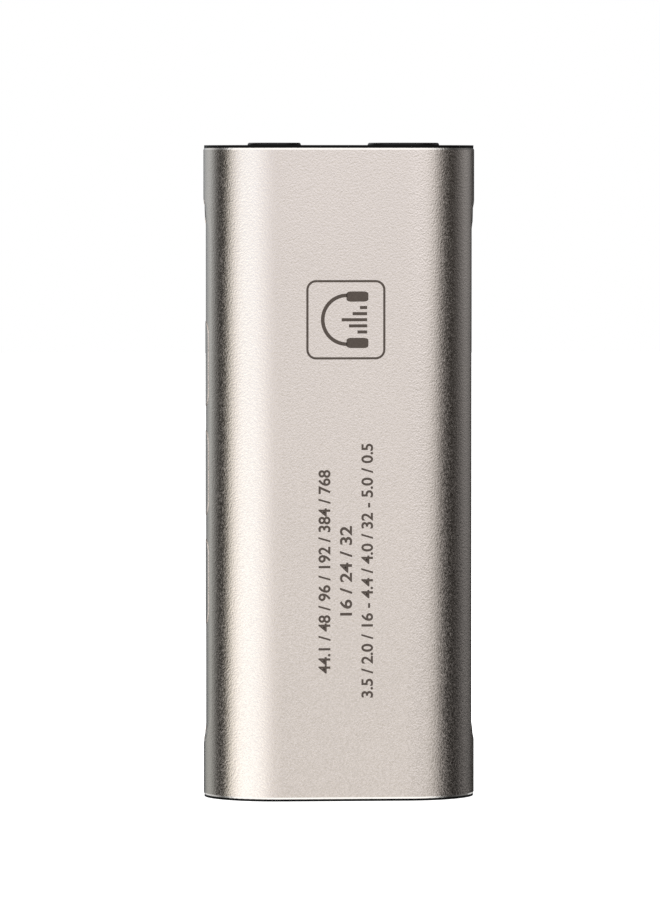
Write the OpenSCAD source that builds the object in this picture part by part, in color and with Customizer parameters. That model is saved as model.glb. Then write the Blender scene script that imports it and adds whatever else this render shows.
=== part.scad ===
// Pocket USB DAC and headphone amplifier in an extruded aluminium sleeve.
// It stands on its USB end: +Z runs up to the two headphone jacks, the plain back
// face looks along -Y, the front face with the status light along +Y, and the three
// side buttons sit in the recess on the -X side. All sizes are in millimetres.

/* [Body] */
// Width across the two rounded sides
body_w = 22.4; // [22.2:0.1:23]
// Thickness from the back face to the front face; both sides are half rounds of this size
body_d = 12; // [12:0.1:12.4]
// Height from the bottom cap to the rims of the jack collars
body_h = 54; // [54:0.5:58]
// Wall thickness of the sleeve
wall = 1.2; // [1.1:0.05:1.25]
// Height of the bright, steep chamfer on both ends of the sleeve
end_chamfer = 0.17; // [0.1:0.01:0.24]
// How far the same chamfer cuts in
chamfer_inset = 0.09; // [0.06:0.01:0.2]

/* [Side recess] */
// Length of the outer step of the recess
recess_len = 45; // [44.5:0.1:45.6]
// Width of the outer step
recess_w = 4.8; // [4.6:0.1:5.2]
// Depth of the outer step
recess_depth = 0.1; // [0.08:0.01:0.12]
// Length of the inner step, with its gently sloped upper end
pocket_len = 43.7; // [41:0.1:43.9]
// Width of the inner step
pocket_w = 3.8; // [3.6:0.1:4]
// Depth of the inner step below the side of the sleeve
pocket_depth = 0.2; // [0.18:0.01:0.26]

/* [Buttons] */
// Length of each button
button_len = 7; // [6:0.1:7.4]
// Width of each button
button_w = 2.4; // [2:0.1:2.5]
// Distance between neighbouring buttons
button_pitch = 9; // [8.8:0.1:9.1]
// How far a button travels when it is pressed
button_travel = 0.25; // [0.2:0.01:0.28]

/* [Jacks] */
// Distance between the two jack axes
jack_spacing = 10.7; // [10.6:0.1:10.9]
// Bore of the single-ended jack, for a 3.5 mm plug
small_bore_d = 3.6; // [3.55:0.01:3.65]
// Outside of its collar
small_collar_d = 4.4; // [4.35:0.05:4.7]
// Bore of the balanced jack, for a 4.4 mm plug
large_bore_d = 4.5; // [4.45:0.01:4.55]
// Outside of its collar
large_collar_d = 5.9; // [5.8:0.05:6.1]
// How far the collars stand out of the top cap
collar_proud = 0.21; // [0.15:0.01:0.4]

/* [Hidden] */
$fn = 64;

// Colours of the real materials
champagne = [0.78, 0.73, 0.67];
black_cap = [0.06, 0.06, 0.065];
jack_black = [0.03, 0.03, 0.03];
board_green = [0.05, 0.16, 0.11];
gold = [0.85, 0.66, 0.3];
nickel = [0.75, 0.75, 0.74];
tin = [0.8, 0.8, 0.8];
epoxy = [0.1, 0.1, 0.11];

// Caps and ends of the sleeve
top_proud = 0.21;
bottom_proud = 0.15;
lip_inset = 0.06;
rabbet_depth = 0.3;
rabbet_inset = 0.6;
cap_gap = 0.05;
cap_plug_len = 1.2;
sleeve_z0 = bottom_proud;
sleeve_z1 = body_h - collar_proud - top_proud;
mid_z = (sleeve_z0 + sleeve_z1) / 2;
half_w = body_w / 2;
half_d = body_d / 2;
bore_w = body_w - 2 * wall;
bore_d = body_d - 2 * wall;
top_cap_z = sleeve_z1 + top_proud;
past = 1;

// Side recess, almost in the middle of the sleeve
recess_z = mid_z + 0.07;
steep = 0.15;
gentle = 0.9;

// Circuit board, in the middle of the thickness
board_t = 0.8;
board_y = board_t / 2;
board_half_w = 9.5;
board_z0 = 1.95;
board_shoulder_z = 6.95;
board_leg_x = 6.4;
board_step_x = -8.3;

// USB-C receptacle
usb_w = 8.94;
usb_d = 3.16;
usb_wall = 0.3;
usb_z0 = 0.05;
usb_z1 = 7.3;
usb_tongue_w = 6.7;
usb_tongue_t = 0.7;
usb_tongue_z0 = 0.8;
usb_block_z0 = 5.2;
usb_pins = 12;
usb_pitch = 0.5;
usb_tab_z = [2.4, 5.6];
usb_tab_len = 0.9;

// Cap screws, M1.4
screw_x = 7.9;
screw_r = 0.69;
screw_head_r = 1.25;
screw_head_h = 0.6;
screw_z1 = 5.6;
screw_seat_z = 0.75;
boss_r = 1.35;
boss_z1 = 6.7;

// Rails that hold the board's long edges
rail_h = 0.5;
rail_x = 9.2;
rail_z0 = 7.2;
rail_short_z1 = 12.2;
rail_long_z1 = 31;

// Jacks: half sizes of the moulded bodies and depths measured from the mouth
jack_x = jack_spacing / 2;
jack_top_z = sleeve_z1 - rabbet_depth - cap_plug_len - 0.04;
small_half = [2.95, 2.5];
large_half = [3.6, 3.7];
small_len = 15.5;
large_len = 22;
small_bore_len = 14.3;
large_bore_len = 20.1;
jack_edge = 1.1;
sleeve_len = 3;
contact_t = 0.2;
contact_half = 1.25;
contact_w = 0.9;
small_contact_depths = [5.1, 8.2, 12.4];
large_contact_depths = [6.6, 10.2, 13.8, 17.6];

// Status light
led_z = 45.2;
led_h = 0.6;
pipe_r = 0.5;
pipe_hole_r = 0.55;

// Buttons and switches, as distances outward from the middle of the body
button_sink = pocket_depth - 0.04;
flange_out = 9.65;
flange_t = 0.45;
flange_in = flange_out - flange_t;
nub_in = 8.9;
plunger_out = nub_in - 0.02;
flange_margin = 0.4;
switch_out = 8.25;
switch_in = 6;
switch_len = 4;
switch_t = 1.5;
well_in = 7.3;
plunger_in = well_in + button_travel + 0.1;
slot_gap = 0.06;
button_mid_z = mid_z - 0.08;
button_z = [button_mid_z + button_pitch, button_mid_z, button_mid_z - button_pitch];

// ---- Shared shapes ----

module rounded_rect(w, d, r) {
    square([w - 2 * r, d], center = true);
    square([w, d - 2 * r], center = true);
    for (sx = [-1, 1], sy = [-1, 1])
        translate([sx * (w / 2 - r), sy * (d / 2 - r)]) circle(r);
}

// A slot outline with fully round ends, along X
module pill(length, width) {
    square([length - width, width], center = true);
    for (sx = [-1, 1]) translate([sx * (length - width) / 2, 0]) circle(width / 2);
}

// Stands a flat outline up from z0 to z1
module prism(z0, z1) {
    translate([0, 0, z0]) linear_extrude(z1 - z0) children();
}

// Lays a shape so that its +Z points out of the button side and its +X points up
module button_side() {
    rotate([0, -90, 0]) children();
}

// A box from one corner to the opposite one
module block(low, high) {
    translate(low) cube(high - low);
}

// The outline of the body, drawn in by inset all round
module section(inset) {
    pill(body_w - 2 * inset, body_d - 2 * inset);
}

// A pill-shaped post whose side follows one profile, a polygon of [distance out, height];
// core is the distance between the centres of its round ends
module turned_pill(core, profile) {
    for (sx = [-1, 1]) translate([sx * core / 2, 0, 0]) rotate_extrude() polygon(profile);
    rotate([90, 0, 90])
        linear_extrude(core, center = true) {
            polygon(profile);
            mirror([1, 0]) polygon(profile);
        }
}

// ---- Sleeve and caps ----

// What one step of a side recess takes away. Its walls slope only near the sleeve's
// outermost line, from level to level + depth, and its floor follows the round side.
// slopes holds the length of the slope at the lower and the upper end.
module recess_cut(side, length, width, slopes, level, depth) {
    r = width / 2;
    top = half_w - level;
    difference() {
        for (end = [0, 1]) {
            slope = slopes[end];
            core = length / 2 - r - slope;
            translate([0, 0, recess_z + (end == 0 ? -core / 2 : core / 2)])
                rotate([0, side * 90, 0])
                    turned_pill(core, [
                        [0, half_w - past], [r, half_w - past], [r, top - depth],
                        [r + slope, top], [r + slope, half_w + past], [0, half_w + past]
                    ]);
        }
        prism(sleeve_z0, sleeve_z1) section(level + depth);
    }
}

module sleeve_shell() {
    r = half_d;
    c = end_chamfer;
    cut = r - chamfer_inset;
    difference() {
        turned_pill(body_w - body_d, [
            [0, sleeve_z0], [cut, sleeve_z0], [r, sleeve_z0 + c],
            [r, sleeve_z1 - c], [cut, sleeve_z1], [0, sleeve_z1]
        ]);
        prism(sleeve_z0 - past, sleeve_z1 + past) section(wall);
        for (z = [sleeve_z0 - past, sleeve_z1 - rabbet_depth])
            prism(z, z + past + rabbet_depth) section(rabbet_inset);
        for (side = [-1, 1]) {
            recess_cut(side, recess_len, recess_w, [steep, steep], 0, recess_depth);
            recess_cut(
                side, pocket_len, pocket_w, [steep, gentle], recess_depth,
                pocket_depth - recess_depth
            );
        }
        for (z = button_z)
            translate([0, 0, z])
                button_side()
                    prism(half_w - 2 * wall, half_w + past)
                        pill(button_len + 2 * slot_gap, button_w + 2 * slot_gap);
        translate([0, half_d - 2 * wall, led_z])
            rotate([-90, 0, 0]) cylinder(r = pipe_hole_r, h = 3 * wall);
    }
}

// Screw bosses on both sides of the USB receptacle
module bosses() {
    for (side = [-1, 1])
        prism(sleeve_z0 + rabbet_depth + cap_plug_len + cap_gap, boss_z1) {
            translate([side * screw_x, 0]) circle(boss_r);
            translate([side * (screw_x + (bore_w / 2 + 0.3 - screw_x) / 2), 0])
                square([bore_w / 2 + 0.3 - screw_x, 2 * boss_r], center = true);
        }
}

module rails() {
    for (side = [-1, 1], face = [-1, 1]) {
        z1 = side < 0 ? rail_short_z1 : rail_long_z1;
        low = board_y + 0.05;
        x = [rail_x, bore_w / 2 + 0.2];
        translate([side * (x[0] + x[1]) / 2, face * (low + rail_h / 2), (rail_z0 + z1) / 2])
            cube([x[1] - x[0], rail_h, z1 - rail_z0], center = true);
    }
}

module housing() {
    color(champagne) difference() {
        union() {
            sleeve_shell();
            bosses();
            rails();
        }
        for (side = [-1, 1])
            translate([side * screw_x, 0, sleeve_z0]) cylinder(r = screw_r + 0.01, h = boss_z1);
    }
}

// Lip that covers the sleeve's end, step that drops into the rabbet and plug that fills the
// sleeve's mouth; end_z is the sleeve's end and dir is 1 for the top
module cap_blank(outer_z, end_z, dir) {
    step_z = end_z - dir * rabbet_depth;
    plug_z = step_z - dir * cap_plug_len;
    prism(min(outer_z, end_z), max(outer_z, end_z)) section(lip_inset);
    prism(min(step_z, outer_z), max(step_z, outer_z)) section(rabbet_inset + cap_gap);
    prism(min(plug_z, step_z), max(plug_z, step_z)) section(wall + cap_gap);
}

module top_cap() {
    color(black_cap) difference() {
        cap_blank(top_cap_z, sleeve_z1, 1);
        translate([-jack_x, 0, jack_top_z]) cylinder(d = small_collar_d + 0.1, h = 4);
        translate([jack_x, 0, jack_top_z]) cylinder(d = large_collar_d + 0.1, h = 4);
    }
}

module bottom_cap() {
    color(black_cap) difference() {
        cap_blank(0, sleeve_z0, -1);
        prism(-past, 4) pill(usb_w + 0.1, usb_d + 0.1);
        for (side = [-1, 1])
            translate([side * screw_x, 0, 0]) {
                translate([0, 0, -past]) cylinder(r = screw_r + 0.1, h = 4);
                translate([0, 0, -past]) cylinder(r = screw_head_r + 0.1, h = past + screw_seat_z);
            }
    }
}

module cap_screws() {
    slot = [1.4, 0.3, 0.7];
    color(nickel)
        for (side = [-1, 1])
            translate([side * screw_x, 0, 0])
                difference() {
                    union() {
                        translate([0, 0, screw_seat_z - screw_head_h])
                            cylinder(r = screw_head_r, h = screw_head_h);
                        translate([0, 0, screw_seat_z])
                            cylinder(r = screw_r, h = screw_z1 - screw_seat_z);
                    }
                    for (turn = [0, 90]) rotate([0, 0, turn + 20]) cube(slot, center = true);
                }
}

// Clear rod that carries the light through the front wall, with a collar behind the wall
module light_pipe() {
    color([0.9, 0.95, 1, 0.5])
        translate([0, board_y + led_h + 0.1, led_z])
            rotate([-90, 0, 0]) {
                cylinder(r = pipe_r, h = half_d - board_y - led_h - 0.12);
                translate([0, 0, 2.6]) cylinder(r = 2 * pipe_r, h = 0.8);
            }
}

// ---- Circuit board ----

module board_outline() {
    tongue = [-jack_x + small_half[0] + 0.05, jack_x - large_half[0] - 0.05];
    small_z = body_h - small_len - 0.1;
    large_z = body_h - large_len - 0.1;
    polygon([
        [-board_leg_x, board_z0], [-usb_w / 2 - 0.1, board_z0],
        [-usb_w / 2 - 0.1, usb_z1 + 0.1], [usb_w / 2 + 0.1, usb_z1 + 0.1],
        [usb_w / 2 + 0.1, board_z0], [board_leg_x, board_z0],
        [board_leg_x, board_shoulder_z], [board_half_w, board_shoulder_z],
        [board_half_w, large_z], [tongue[1], large_z],
        [tongue[1], jack_top_z - 0.5], [tongue[0], jack_top_z - 0.5],
        [tongue[0], small_z], [board_step_x, small_z],
        [board_step_x, rail_short_z1 + 0.3], [-board_half_w, rail_short_z1 + 0.3],
        [-board_half_w, board_shoulder_z], [-board_leg_x, board_shoulder_z]
    ]);
}

module main_board() {
    color(board_green) difference() {
        translate([0, board_y, 0]) rotate([90, 0, 0]) linear_extrude(board_t) board_outline();
        for (z = button_z)
            block(
                [board_step_x - 1, -board_t, z - switch_len / 2 - 0.05],
                [-switch_in + 0.05, board_t, z + switch_len / 2 + 0.05]
            );
        for (side = [-1, 1], z = usb_tab_z)
            translate([side * 5.35, 0, z]) cube([0.5, 2, usb_tab_len + 0.1], center = true);
    }
}

// Places a part on the board: face 1 is the front, -1 the back; local +Z leaves the board
module on_board(x, z, face) {
    translate([x, face * board_y, z]) rotate([face > 0 ? -90 : 90, 0, 0]) children();
}

module status_led() {
    color("white")
        on_board(0, led_z, 1) {
            translate([-0.4, -0.8, 0]) cube([0.8, 1.6, 0.3]);
            translate([0, 0, 0.3]) cylinder(r1 = 0.38, r2 = 0.3, h = led_h - 0.3);
        }
}

// ---- USB-C receptacle ----

module usb_shell() {
    color(nickel) {
        difference() {
            union() {
                prism(usb_z0, usb_z1) pill(usb_w, usb_d);
                for (side = [-1, 1], z = usb_tab_z) usb_tab(side, z);
            }
            prism(usb_z0 - past, usb_z1 + past) pill(usb_w - 2 * usb_wall, usb_d - 2 * usb_wall);
        }
    }
}

// A tab that lies on the board and goes down through it
module usb_tab(side, z) {
    y = board_y;
    z0 = z - usb_tab_len / 2;
    z1 = z + usb_tab_len / 2;
    translate([side * 4.825, y + 0.15, z]) cube([1.35, 0.3, usb_tab_len], center = true);
    translate([side * 5.35, 0, z]) cube([0.3, 2 * y + 0.6, usb_tab_len], center = true);
}

module usb_tongue() {
    color("black") {
        difference() {
            block(
                [-usb_tongue_w / 2, -usb_tongue_t / 2, usb_tongue_z0],
                [usb_tongue_w / 2, usb_tongue_t / 2, usb_block_z0]
            );
            for (face = [-1, 1])
                translate([0, face * usb_tongue_t / 2, usb_tongue_z0])
                    rotate([45, 0, 0]) cube([usb_tongue_w + 1, 0.25, 0.25], center = true);
        }
        prism(usb_block_z0, usb_z1)
            pill(usb_w - 2 * usb_wall - 0.02, usb_d - 2 * usb_wall - 0.02);
    }
}

// Two rows of twelve contacts on the tongue, and their solder tails on the board
module usb_contacts() {
    color(gold)
        for (face = [-1, 1], i = [0 : usb_pins - 1]) {
            x = (i - (usb_pins - 1) / 2) * usb_pitch;
            y = face * (usb_tongue_t / 2 + 0.025);
            translate([x, y, (1.3 + usb_block_z0) / 2])
                cube([0.26, 0.05, usb_block_z0 - 1.3], center = true);
            translate([x, face * (board_y + 0.06), usb_z1 + 0.45])
                cube([0.24, 0.12, 0.9], center = true);
        }
}

// ---- Headphone jacks, each built round its own axis with the board on its +X side ----

// Stands a shape on a jack's axis, mouth at body_h; side is -1 for the small jack
module at_jack(side) {
    translate([side * jack_x, 0, 0]) mirror([side > 0 ? 1 : 0, 0, 0]) children();
}

module jack_body(half, length, collar_d, bore_diameter, bore_len, depths) {
    z0 = body_h - length;
    edge = jack_edge;
    difference() {
        union() {
            prism(z0, jack_top_z)
                polygon([
                    [half[0], half[1] - edge], [half[0] - edge, half[1]],
                    [-half[0] + edge, half[1]], [-half[0], half[1] - edge],
                    [-half[0], -half[1] + edge], [-half[0] + edge, -half[1]],
                    [half[0] - edge, -half[1]], [half[0], -half[1] + edge]
                ]);
            rotate_extrude()
                polygon([
                    [0, jack_top_z - 0.5], [collar_d / 2, jack_top_z - 0.5],
                    [collar_d / 2, body_h - 0.1], [collar_d / 2 - 0.1, body_h], [0, body_h]
                ]);
        }
        translate([0, 0, body_h - bore_len]) cylinder(d = bore_diameter, h = bore_len + past);
        // seat of the ground sleeve
        translate([0, 0, body_h - 0.2 - sleeve_len])
            cylinder(r = sleeve_outer_r(bore_diameter), h = sleeve_len);
        // the ground sleeve's tail and the spring contacts leave through windows in the side
        for (depth = concat([sleeve_len - 0.25], depths))
            block(
                [0, -0.55, body_h - depth - contact_window(depth)],
                [half[0] + past, 0.7, body_h - depth + contact_window(depth)]
            );
    }
}

function contact_window(depth) = depth < sleeve_len ? 0.45 : contact_half + 0.05;

// Thin walls leave the small collar room for a thinner sleeve than the large one
function sleeve_outer_r(bore_diameter) = bore_diameter / 2 + (bore_diameter < 4 ? 0.17 : 0.35);

module jack_sleeve(half, bore_diameter) {
    z0 = body_h - 0.2 - sleeve_len;
    tail_z = body_h - sleeve_len + 0.25;
    difference() {
        union() {
            translate([0, 0, z0]) cylinder(r = sleeve_outer_r(bore_diameter), h = sleeve_len);
            block(
                [bore_diameter / 2, -0.4, tail_z - 0.4],
                [half[0] - 0.2, board_y + contact_t, tail_z + 0.4]
            );
            block(
                [half[0] - 0.3, board_y, tail_z - 0.4],
                [half[0] + 1.1, board_y + contact_t, tail_z + 0.4]
            );
        }
        translate([0, 0, z0 - past]) cylinder(d = bore_diameter, h = sleeve_len + 2 * past);
    }
}

// A bent leaf: its leg stands in the window, its knee reaches into the bore, its tail meets the board
module leaf_contact(half, bore_diameter, depth) {
    z = body_h - depth;
    leg = half[0] - 0.4;
    knee = bore_diameter / 2 - 0.15;
    t = contact_t;
    h = contact_half;
    translate([0, board_y + t, 0])
        rotate([90, 0, 0])
            linear_extrude(board_y + t + contact_w / 2)
                polygon([
                    [leg + t, z + h], [leg, z + h], [leg, z - h + 1.5 * t],
                    [knee + t, z + 0.2], [knee + 2.5 * t, z + 0.8], [knee + 1.5 * t, z + 0.9],
                    [knee, z + 0.2], [leg - 0.1, z - h], [leg + t, z - h]
                ]);
    block([leg, board_y, z - 0.4], [half[0] + 1.1, board_y + t, z + 0.4]);
}

module jack_35_body() {
    color(jack_black) at_jack(-1)
        jack_body(
            small_half, small_len, small_collar_d, small_bore_d, small_bore_len,
            small_contact_depths
        );
}

module jack_35_sleeve() {
    color(gold) at_jack(-1) jack_sleeve(small_half, small_bore_d);
}

module jack_35_contacts() {
    color(gold) at_jack(-1)
        for (depth = small_contact_depths) leaf_contact(small_half, small_bore_d, depth);
}

module jack_44_body() {
    color(jack_black) at_jack(1)
        jack_body(
            large_half, large_len, large_collar_d, large_bore_d, large_bore_len,
            large_contact_depths
        );
}

module jack_44_sleeve() {
    color(gold) at_jack(1) jack_sleeve(large_half, large_bore_d);
}

module jack_44_contacts() {
    color(gold) at_jack(1)
        for (depth = large_contact_depths) leaf_contact(large_half, large_bore_d, depth);
}

// ---- Chips ----

dac_at = [0.6, 22.6];
dac_size = 7;
dac_pins = 12;
dac_pitch = 0.5;

module dac_chip() {
    color(epoxy)
        on_board(dac_at[0], dac_at[1], 1)
            difference() {
                translate([-dac_size / 2, -dac_size / 2, 0.1]) cube([dac_size, dac_size, 1]);
                translate([-dac_size / 2 + 0.8, dac_size / 2 - 0.8, 1]) cylinder(r = 0.35, h = 1);
            }
}

// Gull-wing leads on all four sides
module dac_chip_leads() {
    color(tin)
        on_board(dac_at[0], dac_at[1], 1)
            for (turn = [0, 90, 180, 270], i = [0 : dac_pins - 1])
                rotate([0, 0, turn])
                    translate([dac_size / 2, (i - (dac_pins - 1) / 2) * dac_pitch - 0.11, 0])
                        rotate([90, 0, 0])
                            mirror([0, 0, 1])
                                linear_extrude(0.22)
                                    polygon([
                                        [0, 0.5], [0, 0.62], [0.35, 0.62], [0.55, 0.12],
                                        [1, 0.12], [1, 0], [0.45, 0], [0.27, 0.5]
                                    ]);
}

// A flat leadless package with a pin-1 dimple
module flat_chip(x, z, face, size) {
    on_board(x, z, face)
        difference() {
            translate([-size[0] / 2, -size[1] / 2, 0]) cube(size);
            translate([-size[0] / 2 + 0.6, size[1] / 2 - 0.6, size[2] - 0.08])
                cylinder(r = 0.25, h = 1);
        }
}

module usb_bridge_chip() {
    color(epoxy) flat_chip(0.2, 13, 1, [6, 6, 0.85]);
}

module flash_chip() {
    color(epoxy) flat_chip(7.4, 10.2, 1, [3, 2, 0.6]);
}

module amplifier_chips() {
    color(epoxy)
        for (z = [29.8, 35.2]) flat_chip(-2.6, z, -1, [4, 4, 0.75]);
}

regulator_at = [[-5, 11], [-4.7, 31.4], [5.2, 29.6]];

module regulators() {
    color(epoxy)
        for (at = regulator_at)
            on_board(at[0], at[1], 1) translate([-1.45, -0.8, 0.1]) cube([2.9, 1.6, 1]);
}

// Five leads: three on one long side and two on the other
module regulator_leads() {
    color(tin)
        for (at = regulator_at)
            on_board(at[0], at[1], 1)
                for (lead = [[-0.95, 1], [0, 1], [0.95, 1], [-0.95, -1], [0.95, -1]])
                    translate([lead[0], lead[1] * 1.1, 0.225])
                        cube([0.4, 0.6, 0.45], center = true);
}

oscillator_z = [14.8, 18.6];
oscillator_x = 6.9;

module oscillator_bases() {
    color("dimgray")
        for (z = oscillator_z)
            on_board(oscillator_x, z, 1)
                translate([-1.6, -1.25, 0]) cube([3.2, 2.5, 0.5]);
}

module oscillator_lids() {
    color(nickel)
        for (z = oscillator_z)
            on_board(oscillator_x, z, 1) prism(0.5, 0.9) rounded_rect(2.9, 2.2, 0.3);
}

// ---- Passive parts ----

module power_inductors() {
    color("slategray")
        for (z = [10.4, 14.2])
            on_board(6.9, z, -1)
                union() {
                    prism(0, 1.4) rounded_rect(3, 3, 0.5);
                    prism(1.4, 1.5) circle(1.2);
                }
}

capacitor_size = [3.5, 2.8, 1.9];
capacitor_front = [[7.2, 23], [-3.6, 35.4]];
capacitor_back = [[6.9, 18.6], [6.9, 22.4], [6.9, 26.2], [1.6, 29.6], [-1.2, 11.4], [2.8, 11.4]];

module every_polymer_capacitor() {
    for (at = capacitor_front) on_board(at[0], at[1], 1) children();
    for (at = capacitor_back) on_board(at[0], at[1], -1) children();
}

module polymer_capacitors() {
    s = capacitor_size;
    color([0.12, 0.12, 0.13])
        every_polymer_capacitor()
            translate([-s[0] / 2, -s[1] / 2, 0.12]) cube([s[0], s[1], s[2] - 0.12]);
}

// A foot under each end and a strip up the end face
module polymer_capacitor_terminals() {
    s = capacitor_size;
    color(tin)
        every_polymer_capacitor()
            for (side = [-1, 1]) {
                translate([side * (s[0] / 2 - 0.35), 0, 0.06]) cube([0.9, 2.2, 0.12], center = true);
                translate([side * (s[0] / 2 + 0.05), 0, 0.5]) cube([0.1, 2.2, 1], center = true);
            }
}

// Small parts stand in columns: x, lowest z, how many, and the board face
ceramic_columns = [
    [-5, 16.6, 5, 1], [4.9, 8.9, 3, 1], [-0.6, 29.2, 6, 1],
    [-4.7, 14.6, 6, -1], [0.6, 15.4, 7, -1], [3.1, 15.4, 6, -1]
];
ceramic_size = [1.6, 0.8, 0.8];
ceramic_step = 1.6;
resistor_columns = [
    [-7.2, 21, 3, 1], [7.6, 25.6, 4, 1], [-2.1, 15.4, 8, -1], [-7.2, 30.4, 3, -1]
];
resistor_size = [1, 0.5, 0.35];
resistor_step = 1;
terminal_share = 0.2;

module column(columns, step) {
    for (c = columns, i = [0 : c[2] - 1]) on_board(c[0], c[1] + i * step, c[3]) children();
}

// The middle of a two-ended part, between its terminals
module two_ended_middle(size) {
    length = size[0] * (1 - 2 * terminal_share);
    translate([-length / 2, -size[1] / 2 + 0.03, 0.03])
        cube([length, size[1] - 0.06, size[2] - 0.06]);
}

module two_ended_terminals(size) {
    length = size[0] * terminal_share;
    for (side = [-1, 1])
        translate([side * (size[0] - length) / 2, 0, size[2] / 2])
            cube([length, size[1], size[2]], center = true);
}

module ceramic_capacitors() {
    color([0.62, 0.5, 0.38]) column(ceramic_columns, ceramic_step) two_ended_middle(ceramic_size);
}

module ceramic_capacitor_terminals() {
    color(tin) column(ceramic_columns, ceramic_step) two_ended_terminals(ceramic_size);
}

module chip_resistors() {
    color([0.08, 0.08, 0.09])
        column(resistor_columns, resistor_step) two_ended_middle(resistor_size);
}

module chip_resistor_terminals() {
    color(tin) column(resistor_columns, resistor_step) two_ended_terminals(resistor_size);
}

// ---- Buttons and their switches ----

module side_switch(z) {
    color([0.15, 0.15, 0.16])
        translate([0, 0, z])
            button_side()
                difference() {
                    translate([-switch_len / 2, -switch_t / 2, switch_in])
                        cube([switch_len, switch_t, switch_out - switch_in]);
                    translate([-0.9, -0.5, well_in]) cube([1.8, 1, 2]);
                }
}

// A folded steel cover on each side of every switch, soldered to the board
module switch_covers() {
    color(nickel)
        for (z = button_z, face = [-1, 1])
            translate([0, 0, z])
                button_side()
                    translate([0, face * (switch_t / 2 + 0.06), (switch_in + switch_out) / 2 - 0.1])
                        cube([switch_len - 0.4, 0.12, switch_out - switch_in - 0.4], center = true);
}

module plunger(z) {
    color([0.85, 0.84, 0.8])
        translate([0, 0, z])
            button_side()
                translate([-0.8, -0.4, plunger_in]) cube([1.6, 0.8, plunger_out - plunger_in]);
}

module side_button(z) {
    color(champagne) {
        intersection() {
            translate([0, 0, z])
                button_side() prism(flange_in, half_w) pill(button_len, button_w);
            prism(0, body_h) section(button_sink);
        }
        translate([0, 0, z])
            button_side() {
                prism(flange_in, flange_out)
                    pill(button_len + 2 * flange_margin, button_w + 2 * flange_margin);
                translate([-1, -0.5, nub_in]) cube([2, 1, flange_in - nub_in]);
            }
    }
}

module volume_up_switch() { side_switch(button_z[0]); }
module play_pause_switch() { side_switch(button_z[1]); }
module volume_down_switch() { side_switch(button_z[2]); }
module volume_up_plunger() { plunger(button_z[0]); }
module play_pause_plunger() { plunger(button_z[1]); }
module volume_down_plunger() { plunger(button_z[2]); }
module volume_up_button() { side_button(button_z[0]); }
module play_pause_button() { side_button(button_z[1]); }
module volume_down_button() { side_button(button_z[2]); }

housing();
top_cap();
bottom_cap();
cap_screws();
light_pipe();
main_board();
status_led();
usb_shell();
usb_tongue();
usb_contacts();
jack_35_body();
jack_35_sleeve();
jack_35_contacts();
jack_44_body();
jack_44_sleeve();
jack_44_contacts();
dac_chip();
dac_chip_leads();
usb_bridge_chip();
flash_chip();
amplifier_chips();
regulators();
regulator_leads();
oscillator_bases();
oscillator_lids();
power_inductors();
polymer_capacitors();
polymer_capacitor_terminals();
ceramic_capacitors();
ceramic_capacitor_terminals();
chip_resistors();
chip_resistor_terminals();
volume_up_switch();
play_pause_switch();
volume_down_switch();
switch_covers();
volume_up_plunger();
play_pause_plunger();
volume_down_plunger();
volume_up_button();
play_pause_button();
volume_down_button();
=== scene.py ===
"""Looks of the pocket USB DAC: finishes, marks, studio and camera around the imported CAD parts."""

import math

import bmesh
import bpy
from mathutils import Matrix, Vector


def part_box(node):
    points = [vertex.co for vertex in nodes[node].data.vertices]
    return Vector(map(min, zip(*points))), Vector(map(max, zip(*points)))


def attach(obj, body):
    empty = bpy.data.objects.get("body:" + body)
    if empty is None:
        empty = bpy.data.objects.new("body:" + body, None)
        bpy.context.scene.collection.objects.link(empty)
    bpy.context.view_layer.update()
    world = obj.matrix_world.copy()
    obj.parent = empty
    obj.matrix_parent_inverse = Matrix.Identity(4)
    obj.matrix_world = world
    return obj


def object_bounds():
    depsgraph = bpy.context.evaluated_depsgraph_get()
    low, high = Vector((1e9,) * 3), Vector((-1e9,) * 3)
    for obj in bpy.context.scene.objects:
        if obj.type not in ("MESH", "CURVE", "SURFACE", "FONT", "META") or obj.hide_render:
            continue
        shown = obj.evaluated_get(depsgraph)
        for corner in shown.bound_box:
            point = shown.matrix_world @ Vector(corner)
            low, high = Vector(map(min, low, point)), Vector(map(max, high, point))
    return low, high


MM = 0.001
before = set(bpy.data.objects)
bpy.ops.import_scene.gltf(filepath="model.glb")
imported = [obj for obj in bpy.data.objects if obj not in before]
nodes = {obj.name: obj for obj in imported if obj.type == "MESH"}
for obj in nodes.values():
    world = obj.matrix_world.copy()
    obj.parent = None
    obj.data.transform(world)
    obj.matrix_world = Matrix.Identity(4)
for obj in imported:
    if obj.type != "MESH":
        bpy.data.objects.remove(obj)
cad_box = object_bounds()
scene = bpy.context.scene


# ---- Camera ----

SENSOR = 36.0
FRAME_LONG_PX = 900
CAMERA_DISTANCE = 0.600
CAMERA_HEIGHT = 0.0514
PX_PER_MM = 12.22
TURN = math.radians(4.5)
DOWN = 0.03759
SIDEWAYS = 0.00073


def make_camera():
    """A long lens a little to the left of the back face and level with the top, looking down."""
    forward = Vector((math.sin(TURN), math.cos(TURN), 0))
    right = Vector((math.cos(TURN), -math.sin(TURN), 0))
    half_depth = -cad_box[0].y
    data = bpy.data.cameras.new("camera")
    data.sensor_width = SENSOR
    data.lens = PX_PER_MM / MM * CAMERA_DISTANCE / FRAME_LONG_PX * SENSOR
    data.clip_start = 0.01
    data.clip_end = 20
    camera = bpy.data.objects.new("camera", data)
    camera.location = -(CAMERA_DISTANCE + half_depth) * forward - SIDEWAYS * right
    camera.location.z = CAMERA_HEIGHT
    aim = forward * math.cos(DOWN) - Vector((0, 0, math.sin(DOWN)))
    camera.rotation_euler = aim.to_track_quat("-Z", "Y").to_euler()
    scene.collection.objects.link(camera)
    scene.camera = camera


make_camera()


# ---- Shader helpers ----


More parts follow.
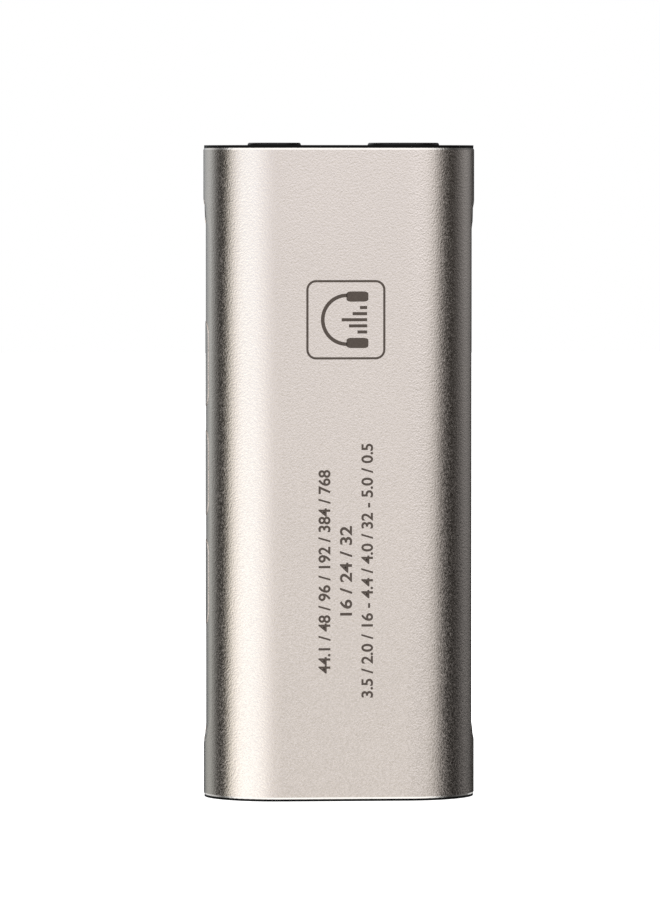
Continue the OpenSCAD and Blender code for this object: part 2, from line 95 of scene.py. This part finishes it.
def new_material(name):
    material = bpy.data.materials.new(name)
    material.use_nodes = True
    tree = material.node_tree
    shader = tree.nodes["Principled BSDF"]
    return material, tree, shader


def add(tree, kind, **values):
    """A node whose named properties and inputs are set."""
    node = tree.nodes.new(kind)
    for key, value in values.items():
        if key in node.inputs:
            node.inputs[key].default_value = value
        else:
            setattr(node, key, value)
    return node


GRAIN_TURN = (0.6, 0.4, 0.9)
NOISE_SPAN = (0.3, 0.7)


def place(tree, turned=GRAIN_TURN):
    """Object coordinates in millimetres, turned so that no face lies along the grain's own grid."""
    coordinates = tree.nodes.new("ShaderNodeTexCoord")
    mapping = add(tree, "ShaderNodeMapping", Scale=(1 / MM,) * 3, Rotation=turned)
    tree.links.new(coordinates.outputs["Object"], mapping.inputs["Vector"])
    return mapping.outputs["Vector"]


def noise(tree, vector, per_mm, detail=2.0, roughness=0.5):
    node = add(tree, "ShaderNodeTexNoise", Scale=per_mm, Detail=detail, Roughness=roughness)
    tree.links.new(vector, node.inputs["Vector"])
    return node.outputs["Fac"]


def remap(tree, value, span, low, high):
    """Stretches a value's span to run from low to high, and holds it at both ends."""
    node = tree.nodes.new("ShaderNodeMapRange")
    for key, number in zip(("From Min", "From Max", "To Min", "To Max"), (*span, low, high)):
        node.inputs[key].default_value = number
    tree.links.new(value, node.inputs["Value"])
    return node.outputs["Result"]


def combine(tree, operation, first, second=None):
    """One Math node; each operand is an output or a number."""
    node = add(tree, "ShaderNodeMath", operation=operation)
    for socket, operand in zip(node.inputs, (first, second)):
        if isinstance(operand, bpy.types.NodeSocket):
            tree.links.new(operand, socket)
        elif operand is not None:
            socket.default_value = operand
    return node.outputs[0]


def mix_colour(tree, factor, first, second):
    """Blends two colours, each an RGB value or an output; factor is an output."""
    node = add(tree, "ShaderNodeMix", data_type="RGBA")
    tree.links.new(factor, node.inputs["Factor"])
    for socket, colour in ((node.inputs[6], first), (node.inputs[7], second)):
        if isinstance(colour, bpy.types.NodeSocket):
            tree.links.new(colour, socket)
        else:
            socket.default_value = (*colour, 1)
    return node.outputs[2]


def bump(tree, height, depth_mm):
    node = add(tree, "ShaderNodeBump", Strength=1.0, Distance=depth_mm * MM)
    tree.links.new(height, node.inputs["Height"])
    return node.outputs["Normal"]


def grainy(
    name, colour, roughness, grain_per_mm, depth_mm, metallic=0.0, spread=0.06, vary=0.05, specular=0.5
):
    """One base finish: fine grain in colour, roughness and bump, and slow unevenness over it."""
    material, tree, shader = new_material(name)
    vector = place(tree)
    fine = noise(tree, vector, grain_per_mm, 3.0, 0.6)
    slow = noise(tree, vector, 0.35, 2.0)
    dark = [c * (1 - spread) for c in colour]
    light = [min(1.0, c * (1 + spread)) for c in colour]
    toned = mix_colour(tree, remap(tree, fine, NOISE_SPAN, 0, 1), dark, light)
    uneven = mix_colour(tree, remap(tree, slow, NOISE_SPAN, 0, 0.3), toned, dark)
    tree.links.new(uneven, shader.inputs["Base Color"])
    rough = remap(tree, fine, NOISE_SPAN, roughness - vary, roughness + vary)
    tree.links.new(rough, shader.inputs["Roughness"])
    tree.links.new(bump(tree, fine, depth_mm), shader.inputs["Normal"])
    shader.inputs["Metallic"].default_value = metallic
    shader.inputs["Specular IOR Level"].default_value = specular
    return material


def paint(name, material):
    """Gives a CAD node one material."""
    mesh = nodes[name].data
    mesh.materials.clear()
    mesh.materials.append(material)


# ---- Finishes ----

CHAMPAGNE = (0.79, 0.715, 0.66)
BLAST_PER_MM = 6.5
BLAST_DEPTH = 0.0130
BLAST_TONE = 0.025
BLAST_ROUGHNESS = (0.10, 0.28)
PATCHES_PER_MM = 6.0
WORN_TONE = 0.82
WORN_SHARE = 0.10
BRIGHT_CUT = (0.93, 0.90, 0.86)
BRIGHT_CUT_ROUGHNESS = 0.14


def blasted_aluminium(name, low_edge=None, high_edge=None):
    """Bead-blasted champagne anodising; the metal below low_edge and above high_edge is cut bright."""
    material, tree, shader = new_material(name)
    vector = place(tree)
    grain = noise(tree, vector, BLAST_PER_MM, 1.0, 0.4)
    pits = noise(tree, vector, BLAST_PER_MM * 1.1, 1.0, 0.4)
    slow = noise(tree, vector, 0.12, 2.0)
    dark = [c * (1 - BLAST_TONE) for c in CHAMPAGNE]
    light = [c * (1 + BLAST_TONE) for c in CHAMPAGNE]
    toned = mix_colour(tree, remap(tree, grain, (0.32, 0.68), 0, 1), dark, light)
    worn = [c * WORN_TONE for c in CHAMPAGNE]
    colour = mix_colour(tree, remap(tree, slow, (0.35, 0.65), 0, WORN_SHARE), toned, worn)
    patches = noise(tree, vector, PATCHES_PER_MM, 1.0)
    rough = remap(tree, patches, NOISE_SPAN, *BLAST_ROUGHNESS)
    if high_edge is not None:
        separate = tree.nodes.new("ShaderNodeSeparateXYZ")
        tree.links.new(place(tree, (0, 0, 0)), separate.inputs[0])
        height = separate.outputs["Z"]
        above = combine(tree, "GREATER_THAN", height, high_edge)
        below = combine(tree, "LESS_THAN", height, low_edge)
        ends = combine(tree, "MAXIMUM", above, below)
        colour = mix_colour(tree, ends, colour, BRIGHT_CUT)
        polish = add(tree, "ShaderNodeMix", B=BRIGHT_CUT_ROUGHNESS)
        tree.links.new(ends, polish.inputs["Factor"])
        tree.links.new(rough, polish.inputs["A"])
        rough = polish.outputs["Result"]
    tree.links.new(colour, shader.inputs["Base Color"])
    tree.links.new(rough, shader.inputs["Roughness"])
    tree.links.new(bump(tree, pits, BLAST_DEPTH), shader.inputs["Normal"])
    shader.inputs["Metallic"].default_value = 1.0
    return material


END_CHAMFER = 0.17
sleeve_low, sleeve_high = (corner.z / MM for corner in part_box("housing"))
paint("housing", blasted_aluminium("sleeve_finish", sleeve_low + END_CHAMFER, sleeve_high - END_CHAMFER))
button_finish = blasted_aluminium("button_finish")
for name in ("volume_up_button", "play_pause_button", "volume_down_button"):
    paint(name, button_finish)

cap_finish = grainy("cap_finish", (0.002, 0.002, 0.002), 0.42, 9.0, 0.003, specular=0.08)
moulding = grainy("moulding_finish", (0.006, 0.006, 0.006), 0.25, 5.0, 0.0015, specular=0.25)
gold = grainy("gold_finish", (0.86, 0.62, 0.27), 0.2, 12.0, 0.0006, metallic=1.0, spread=0.03)
tin = grainy("tin_finish", (0.72, 0.72, 0.71), 0.32, 10.0, 0.001, metallic=1.0, spread=0.05)
steel = grainy("steel_finish", (0.62, 0.61, 0.59), 0.28, 8.0, 0.001, metallic=1.0, spread=0.05)
epoxy = grainy("epoxy_finish", (0.02, 0.02, 0.022), 0.55, 12.0, 0.004)
for name in ("top_cap", "bottom_cap"):
    paint(name, cap_finish)
for name in ("jack_35_body", "jack_44_body", "usb_tongue"):
    paint(name, moulding)
for name in ("usb_contacts", "jack_35_sleeve", "jack_35_contacts", "jack_44_sleeve", "jack_44_contacts"):
    paint(name, gold)
for name in ("usb_shell", "oscillator_lids", "switch_covers", "cap_screws"):
    paint(name, steel)
for name in ("dac_chip_leads", "regulator_leads", "polymer_capacitor_terminals",
             "ceramic_capacitor_terminals", "chip_resistor_terminals"):
    paint(name, tin)
for name in ("dac_chip", "usb_bridge_chip", "flash_chip", "amplifier_chips", "regulators",
             "polymer_capacitors", "chip_resistors"):
    paint(name, epoxy)
paint("main_board", grainy("board_finish", (0.012, 0.06, 0.035), 0.3, 2.0, 0.003, spread=0.25))
paint("status_led", grainy("led_finish", (0.85, 0.82, 0.6), 0.2, 4.0, 0.001))
paint("light_pipe", grainy("pipe_finish", (0.7, 0.72, 0.75), 0.12, 4.0, 0.0005))
ceramic = grainy("ceramic_finish", (0.33, 0.21, 0.12), 0.5, 10.0, 0.002, spread=0.12)
paint("ceramic_capacitors", ceramic)
paint("oscillator_bases", grainy("base_finish", (0.12, 0.11, 0.1), 0.6, 8.0, 0.003))
paint("power_inductors", grainy("ferrite_finish", (0.05, 0.05, 0.055), 0.6, 7.0, 0.006))
switch_finish = grainy("switch_finish", (0.025, 0.025, 0.027), 0.5, 9.0, 0.002)
for name in ("volume_up_switch", "play_pause_switch", "volume_down_switch"):
    paint(name, switch_finish)
plunger_finish = grainy("plunger_finish", (0.7, 0.66, 0.56), 0.45, 9.0, 0.002)
for name in ("volume_up_plunger", "play_pause_plunger", "volume_down_plunger"):
    paint(name, plunger_finish)


# ---- Marks on the back face ----

MARK_DEPTH = 0.012
MARK_OUT = 0.006
mark_finish = grainy(
    "mark_finish", (0.085, 0.067, 0.056), 0.5, 9.0, 0.002, metallic=0.5, spread=0.2, specular=0.3
)


MARK_OUTSIDE = cad_box[0].y / MM - MARK_OUT
MARK_INSIDE = MARK_OUTSIDE + MARK_DEPTH


def mark_points(work, outline, level):
    """Points of an outline of (along, up) in millimetres, along running towards the jacks and up
    towards the buttons, at one level of the back face."""
    return [work.verts.new((-up * MM, level * MM, along * MM)) for along, up in outline]


def finish_mark(name, mesh):
    mesh.materials.clear()
    mesh.materials.append(mark_finish)
    mark = bpy.data.objects.new(name, mesh)
    scene.collection.objects.link(mark)
    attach(mark, "chassis")


def finish_plate(name, work):
    mesh = bpy.data.meshes.new(name)
    bmesh.ops.recalc_face_normals(work, faces=work.faces)
    work.to_mesh(mesh)
    work.free()
    finish_mark(name, mesh)


def on_back(name, outlines):
    """Closed thin plates on the back face, one for each outline."""
    work = bmesh.new()
    for outline in outlines:
        outer = mark_points(work, outline, MARK_OUTSIDE)
        inner = mark_points(work, outline, MARK_INSIDE)
        work.faces.new(outer)
        work.faces.new(list(reversed(inner)))
        for i in range(len(outline)):
            j = (i + 1) % len(outline)
            work.faces.new((outer[i], inner[i], inner[j], outer[j]))
    finish_plate(name, work)


def arc(centre, radius, start, end, steps):
    """Points on a circle from one angle to another, in degrees."""
    points = []
    for i in range(steps + 1):
        angle = math.radians(start + (end - start) * i / steps)
        points.append((centre[0] + radius * math.cos(angle), centre[1] + radius * math.sin(angle)))
    return points


def rounded_square(centre, half, radius):
    points = []
    for turn, (sx, sy) in enumerate(((1, 1), (-1, 1), (-1, -1), (1, -1))):
        corner = (centre[0] + sx * (half - radius), centre[1] + sy * (half - radius))
        points += arc(corner, radius, 90 * turn, 90 * turn + 90, 8)
    return points


BADGE = (39.5, -0.1)
BADGE_HALF = 3.25
BADGE_LINE = 0.185
BADGE_CORNER = 0.8


def ring_on_back(name, outer, inner):
    """A closed frame between two outlines, as one joined plate."""
    work = bmesh.new()
    loops = [
        mark_points(work, outline, level)
        for level in (MARK_OUTSIDE, MARK_INSIDE)
        for outline in (outer, inner)
    ]
    count = len(outer)
    for i in range(count):
        j = (i + 1) % count
        for first, second in ((0, 1), (2, 3), (0, 2), (1, 3)):
            work.faces.new((loops[first][i], loops[first][j], loops[second][j], loops[second][i]))
    finish_plate(name, work)


ring_on_back(
    "badge_frame",
    rounded_square(BADGE, BADGE_HALF, BADGE_CORNER),
    rounded_square(BADGE, BADGE_HALF - BADGE_LINE, BADGE_CORNER - BADGE_LINE),
)

# Headphones seen from the front: a band over two cups, with level bars between them
BAND_CENTRE = (BADGE[0], BADGE[1] - 0.1)
band = arc(BAND_CENTRE, 2.15, 0, 180, 40) + arc(BAND_CENTRE, 1.85, 180, 0, 40)
cups = []
for side in (-1, 1):
    cup_centre = (BADGE[0] + side * 1.9, BADGE[1] - 0.95)
    cups.append(
        [(cup_centre[0] + 0.42 * x, cup_centre[1] + 0.9 * y) for x, y in rounded_square((0, 0), 1, 0.45)]
    )
BAR_HEIGHTS = (0.8, 1.5, 2.1, 1.2, 0.6)
BAR_PITCH = 0.5
BAR_HALF = 0.13
low = BADGE[1] - 1.75
bars = []
for i, height in enumerate(BAR_HEIGHTS):
    left = BADGE[0] + (i - 2) * BAR_PITCH - BAR_HALF
    right = BADGE[0] + (i - 2) * BAR_PITCH + BAR_HALF
    bars.append([(left, low), (right, low), (right, low + height), (left, low + height)])
on_back("badge_headphones", [band] + cups)
on_back("badge_level_bars", bars)

# Lines of plain numerals: text, start and end along the face, baseline and cap height
NUMERAL_LINES = [
    ("sample_rate_numerals", "44.1 / 48 / 96 / 192 / 384 / 768", 10.5, 27.2, 1.15, 1.02),
    ("bit_depth_numerals", "16 / 24 / 32", 15.25, 22.6, -0.62, 1.02),
    ("rating_numerals", "3.5 / 2.0 / 16 - 4.4 / 4.0 / 32 - 5.0 / 0.5", 8.5, 29.35, -2.34, 0.98),
]
NUMERAL_WEIGHT = 0.022


def numerals(name, text, start, end, baseline, height):
    """Sets a line of numerals and fits it to its length and cap height."""
    curve = bpy.data.curves.new(name, "FONT")
    curve.body = text
    curve.resolution_u = 6
    curve.extrude = 0.5
    curve.offset = NUMERAL_WEIGHT
    holder = bpy.data.objects.new(name, curve)
    scene.collection.objects.link(holder)
    bpy.context.view_layer.update()
    mesh = bpy.data.meshes.new_from_object(holder.evaluated_get(bpy.context.evaluated_depsgraph_get()))
    bpy.data.objects.remove(holder)
    bpy.data.curves.remove(curve)
    xs = [v.co.x for v in mesh.vertices]
    ys = [v.co.y for v in mesh.vertices]
    along_scale = (end - start) / (max(xs) - min(xs))
    up_scale = height / (max(ys) - min(ys))
    for vertex in mesh.vertices:
        along = start + (vertex.co.x - min(xs)) * along_scale
        up = baseline + (vertex.co.y - min(ys)) * up_scale
        out = MARK_OUTSIDE if vertex.co.z > 0 else MARK_INSIDE
        vertex.co = Vector((-up, out, along)) * MM
    mesh.name = name
    finish_mark(name, mesh)


for line in NUMERAL_LINES:
    numerals(*line)


# ---- Studio ----

FLOOR_SIZE = 3.0
# The floor lies a hair below the object, so that the two flat faces never share a plane
FLOOR_GAP = 0.00002


def make_floor():
    bpy.ops.mesh.primitive_plane_add(size=FLOOR_SIZE, location=(0, 0, -FLOOR_GAP))
    floor = bpy.context.object
    floor.name = "floor"
    material, tree, shader = new_material("floor_paper")
    shader.inputs["Base Color"].default_value = (0.9, 0.9, 0.9, 1)
    shader.inputs["Roughness"].default_value = 0.9
    shader.inputs["Specular IOR Level"].default_value = 0.0
    shader.inputs["Emission Color"].default_value = (1, 1, 1, 1)
    shader.inputs["Emission Strength"].default_value = 0.75
    floor.data.materials.append(material)
    floor.visible_glossy = False


# Brightness of the light tent round the object: compass angle, level of the upper wall, level
# of the lower wall. 0 is behind the camera, negative is to its left, 180 is behind the object.
TENT = [
    (-180, 0.02, 0.02), (-172, 0.05, 0.01), (-164, 0.44, 0.01), (-154, 0.56, 0.06),
    (-147, 0.56, 0.30), (-130, 0.68, 0.34),
    (-122, 0.52, 0.23), (-114, 0.30, 0.09), (-104, 0.08, 0.025), (-96, 0.05, 0.02),
    (-90, 0.035, 0.06), (-84, 0.10, 0.40), (-76, 0.40, 1.13), (-66, 0.75, 1.50),
    (-56, 0.95, 1.62), (-34, 1.02, 1.54), (-20, 0.90, 1.38), (-8, 0.92, 0.98),
    (0, 0.97, 0.73), (26, 1.22, 0.48), (40, 1.19, 0.45), (52, 0.99, 0.28), (62, 0.52, 0.09),
    (70, 0.205, 0.0), (80, 0.06, 0.0), (92, 0.075, 0.0), (106, 0.24, 0.0),
    (120, 0.44, 0.01), (128, 0.41, 0.01), (138, 0.30, 0.01), (150, 0.06, 0.03), (180, 0.02, 0.02),
]
# The same for the slopes between walls and ceiling, which only the bright ends reflect
SLOPES = [
    (-180, 0.60), (-157, 0.60), (-146, 0.64), (-137, 0.58), (-127, 0.40), (-117, 0.13),
    (-107, 0.16), (-102, 0.48), (-96, 0.85), (-88, 1.18), (60, 1.12), (74, 0.85), (82, 0.42),
    (88, 0.24), (94, 0.08), (102, 0.04), (112, 0.06), (120, 0.10), (139, 0.15), (155, 0.08),
    (180, 0.30),
]
# Tint of the tent by compass angle: bright cloth is cool, dim cloth is warm
TINTS = [
    (-180, (1, 1.07, 1.06)), (-122, (1, 1.07, 1.06)), (-110, (1, 1.02, 0.98)),
    (-98, (1, 0.98, 0.90)), (-78, (1, 1.01, 0.97)), (-66, (1, 1.01, 1.03)),
    (-56, (1, 1.05, 1.09)), (-34, (1, 1.05, 1.10)), (-10, (1, 1.01, 1.04)), (0, (1, 1, 1)),
    (36, (1, 1, 0.99)), (52, (1, 0.99, 0.95)), (66, (1, 0.97, 0.90)), (80, (1, 0.93, 0.82)),
    (92, (1, 0.93, 0.82)), (104, (1, 0.98, 0.93)), (116, (1, 1, 0.96)), (180, (1, 1, 0.96)),
]
UPPER_TINT = (1.0, 1.01, 1.07)
LOWER_TINT = (1.0, 0.985, 0.92)
UPPER_WALL = 0.08
LOWER_WALL = -0.14
SLOPE_RISE = (0.12, 0.28)
CEILING = 1.15
CEILING_RISE = (0.78, 0.90)
TABLE = 0.75
TABLE_SIDES = (math.radians(100), math.radians(120))
TABLE_EDGES = ((-0.16, -0.21), (-0.37, -0.31))


def tint_at(degrees):
    """The tent's tint at a compass angle, between the listed ones."""
    for (start, first), (end, second) in zip(TINTS, TINTS[1:]):
        if start <= degrees <= end:
            part = (degrees - start) / (end - start)
            return [a + (b - a) * part for a, b in zip(first, second)]
    return TINTS[-1][1]


def tent_ramp(tree, share, levels, brightest, tint=None):
    """Colour ramp round the compass, in shares of the brightest level; plain white without a tint."""
    ramp = tree.nodes.new("ShaderNodeValToRGB")
    ramp.color_ramp.interpolation = "LINEAR"
    stops = ramp.color_ramp.elements
    while len(stops) < len(levels):
        stops.new(0.5)
    for stop, (degrees, level) in zip(stops, levels):
        stop.position = (degrees + 180) / 360
        colour = (1, 1, 1) if tint is None else [a * b for a, b in zip(tint_at(degrees), tint)]
        stop.color = [level / brightest * part for part in colour] + [1]
    tree.links.new(share, ramp.inputs["Fac"])
    return ramp.outputs["Color"]


def make_world():
    """Reflections see the tent; every other ray sees an even white studio."""
    world = bpy.data.worlds.new("studio")
    scene.world = world
    world.use_nodes = True
    tree = world.node_tree
    tree.nodes.clear()
    out = tree.nodes.new("ShaderNodeOutputWorld")
    coordinates = tree.nodes.new("ShaderNodeTexCoord")
    turned = add(tree, "ShaderNodeMapping", Rotation=(0, 0, TURN))
    tree.links.new(coordinates.outputs["Generated"], turned.inputs["Vector"])
    separate = tree.nodes.new("ShaderNodeSeparateXYZ")
    tree.links.new(turned.outputs["Vector"], separate.inputs[0])
    height = separate.outputs["Z"]
    towards_camera = combine(tree, "MULTIPLY", separate.outputs["Y"], -1)
    angle = combine(tree, "ARCTAN2", separate.outputs["X"], towards_camera)
    share = remap(tree, angle, (-math.pi, math.pi), 0, 1)
    brightest = max(max(upper, lower) for _, upper, lower in TENT)
    upper_levels = [(degrees, level) for degrees, level, _ in TENT]
    lower_levels = [(degrees, level) for degrees, _, level in TENT]
    upper = tent_ramp(tree, share, upper_levels, brightest, UPPER_TINT)
    lower = tent_ramp(tree, share, lower_levels, brightest, LOWER_TINT)
    walls = mix_colour(tree, remap(tree, height, (LOWER_WALL, UPPER_WALL), 0, 1), lower, upper)
    # The walls give way to slopes, and those to an even bright ceiling and base
    tilt = combine(tree, "ABSOLUTE", height)
    slopes = tent_ramp(tree, share, SLOPES, brightest)
    sloped = mix_colour(tree, remap(tree, tilt, SLOPE_RISE, 0, 1), walls, slopes)
    ceiling = (CEILING / brightest,) * 3
    roofed = mix_colour(tree, remap(tree, tilt, CEILING_RISE, 0, 1), sloped, ceiling)
    # A pale table shows low down behind the object, on both sides
    table = remap(tree, combine(tree, "ABSOLUTE", angle), TABLE_SIDES, 0, 1)
    for edge in TABLE_EDGES:
        table = combine(tree, "MULTIPLY", table, remap(tree, height, edge, 0, 1))
    lit = mix_colour(tree, table, roofed, (TABLE / brightest,) * 3)
    tent = add(tree, "ShaderNodeBackground", Strength=brightest)
    tree.links.new(lit, tent.inputs["Color"])
    plain = add(tree, "ShaderNodeBackground", Strength=1.0, Color=(1, 1, 1, 1))
    rays = tree.nodes.new("ShaderNodeLightPath")
    pick = tree.nodes.new("ShaderNodeMixShader")
    tree.links.new(rays.outputs["Is Glossy Ray"], pick.inputs[0])
    tree.links.new(plain.outputs[0], pick.inputs[1])
    tree.links.new(tent.outputs[0], pick.inputs[2])
    tree.links.new(pick.outputs[0], out.inputs["Surface"])


make_floor()
make_world()
scene.view_settings.view_transform = "Standard"
scene.view_settings.look = "None"
